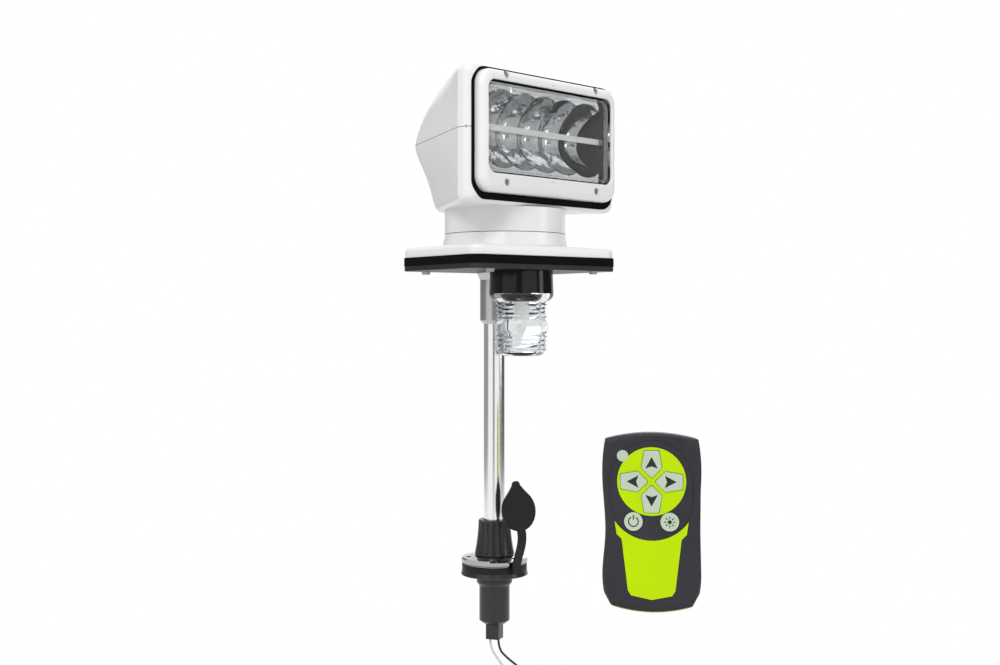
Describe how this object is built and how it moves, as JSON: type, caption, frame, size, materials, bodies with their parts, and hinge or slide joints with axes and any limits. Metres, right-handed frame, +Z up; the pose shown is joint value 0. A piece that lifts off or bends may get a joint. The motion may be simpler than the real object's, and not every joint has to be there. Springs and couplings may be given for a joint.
{
  "type": "remote control spotlight",
  "caption": "Marine searchlight that pans and tilts by a wireless handset, on a plug-in pole with an all-round lamp and a flush deck socket",
  "frame": {"origin": "pole axis at the deck surface, on the underside of the socket's flange", "axes": "+Z up along the pole, -Y the way the lamp faces, +X to the lamp's left as it faces out"},
  "size_m": [0.183, 0.3093, 0.6121],
  "materials": {
    "white_shell": "smooth gloss white moulding",
    "black_rubber": "dull black rubber",
    "black_plate": "textured black powder coat",
    "chrome_trim": "polished",
    "tube_metal": "brushed grey",
    "screw_metal": "brushed",
    "black_plastic": "glossy black moulding",
    "dark_plastic": "satin dark moulding",
    "lens_glass": "clear",
    "bulb_glass": "frosted white",
    "reflector_chrome": "vacuum metallised",
    "shelf_dark": "dark anodised",
    "board_green": "coated circuit board",
    "handset_grey": "fine texture dark grey",
    "lime_rubber": "satin lime",
    "key_pale": "pale grey-green",
    "wire_white_skin": "smooth white insulation",
    "wire_black_skin": "smooth black insulation"
  },
  "bodies": {
    "socket": {"socket_body": "dark_plastic", "cap_ring": "black_rubber", "trim_ring": "chrome_trim", "wire_white": "wire_white_skin", "wire_black": "wire_black_skin", "handset_front": "handset_grey", "handset_back": "lime_rubber", "handset_board": "board_green", "handset_battery": "dark_plastic", "key_pad": "lime_rubber", "grip_panel": "lime_rubber", "indicator_lens": "lime_rubber"},
    "collar": {"lock_collar": "dark_plastic"},
    "cap": {"socket_cap": "black_rubber"},
    "pole": {"pole_tube": "tube_metal", "pole_plug": "dark_plastic", "top_sleeve": "tube_metal", "mounting_plate": "black_plate", "base_gasket": "black_rubber", "turret_base": "white_shell", "plate_screws": "screw_metal", "lamp_cap": "black_plastic", "lamp_lens": "lens_glass", "lamp_holder": "dark_plastic", "lamp_bulb": "bulb_glass"},
    "head": {"turning_neck": "white_shell", "lower_shell": "white_shell", "upper_shell": "white_shell", "opening_seal": "black_rubber", "pan_drive": "tube_metal", "tilt_drive": "dark_plastic", "control_board": "board_green"},
    "lamp": {"lamp_bezel": "white_shell", "bezel_screws": "screw_metal", "front_lens": "lens_glass", "lamp_housing": "dark_plastic", "cooling_fins": "tube_metal", "reflector": "reflector_chrome", "led_shelf": "shelf_dark"},
    "arrow_button_1": {"arrow_key_1": "key_pale"},
    "arrow_button_2": {"arrow_key_2": "key_pale"},
    "arrow_button_3": {"arrow_key_3": "key_pale"},
    "arrow_button_4": {"arrow_key_4": "key_pale"},
    "round_button_1": {"round_key_1": "key_pale"},
    "round_button_2": {"round_key_2": "key_pale"}
  },
  "joints": [
    {"name": "pole_lift", "type": "slide", "parent": "socket", "child": "pole", "axis": [0, 0, 1], "range_m": [0, 0.06]},
    {"name": "collar_turn", "type": "hinge", "parent": "pole", "child": "collar", "pos_m": [0, 0, 0], "axis": [0, 0, 1], "range_deg": [-30, 30]},
    {"name": "cap_swing", "type": "hinge", "parent": "socket", "child": "cap", "pos_m": [-0.00525, -0.03106, 0.0067], "axis": [0.986, -0.1668, 0], "range_deg": [0, 60]},
    {"name": "head_pan", "type": "hinge", "parent": "pole", "child": "head", "pos_m": [-0.00386, -0.01725, 0], "axis": [0, 0, 1], "range_deg": [-185, 185]},
    {"name": "lamp_tilt", "type": "hinge", "parent": "head", "child": "lamp", "pos_m": [-0.00386, -0.05825, 0.38055], "axis": [1, 0, 0], "range_deg": [-25, 25]},
    {"name": "arrow_key_1_press", "type": "slide", "parent": "socket", "child": "arrow_button_1", "axis": [0.7891, 0.6143, 0], "range_m": [0, 0.0012], "stiffness_N_per_m": 400, "springref_m": -0.0008},
    {"name": "arrow_key_2_press", "type": "slide", "parent": "socket", "child": "arrow_button_2", "axis": [0.7891, 0.6143, 0], "range_m": [0, 0.0012], "stiffness_N_per_m": 400, "springref_m": -0.0008},
    {"name": "arrow_key_3_press", "type": "slide", "parent": "socket", "child": "arrow_button_3", "axis": [0.7891, 0.6143, 0], "range_m": [0, 0.0012], "stiffness_N_per_m": 400, "springref_m": -0.0008},
    {"name": "arrow_key_4_press", "type": "slide", "parent": "socket", "child": "arrow_button_4", "axis": [0.7891, 0.6143, 0], "range_m": [0, 0.0012], "stiffness_N_per_m": 400, "springref_m": -0.0008},
    {"name": "round_key_1_press", "type": "slide", "parent": "socket", "child": "round_button_1", "axis": [0.7891, 0.6143, 0], "range_m": [0, 0.0012], "stiffness_N_per_m": 400, "springref_m": -0.0008},
    {"name": "round_key_2_press", "type": "slide", "parent": "socket", "child": "round_button_2", "axis": [0.7891, 0.6143, 0], "range_m": [0, 0.0012], "stiffness_N_per_m": 400, "springref_m": -0.0008}
  ]
}
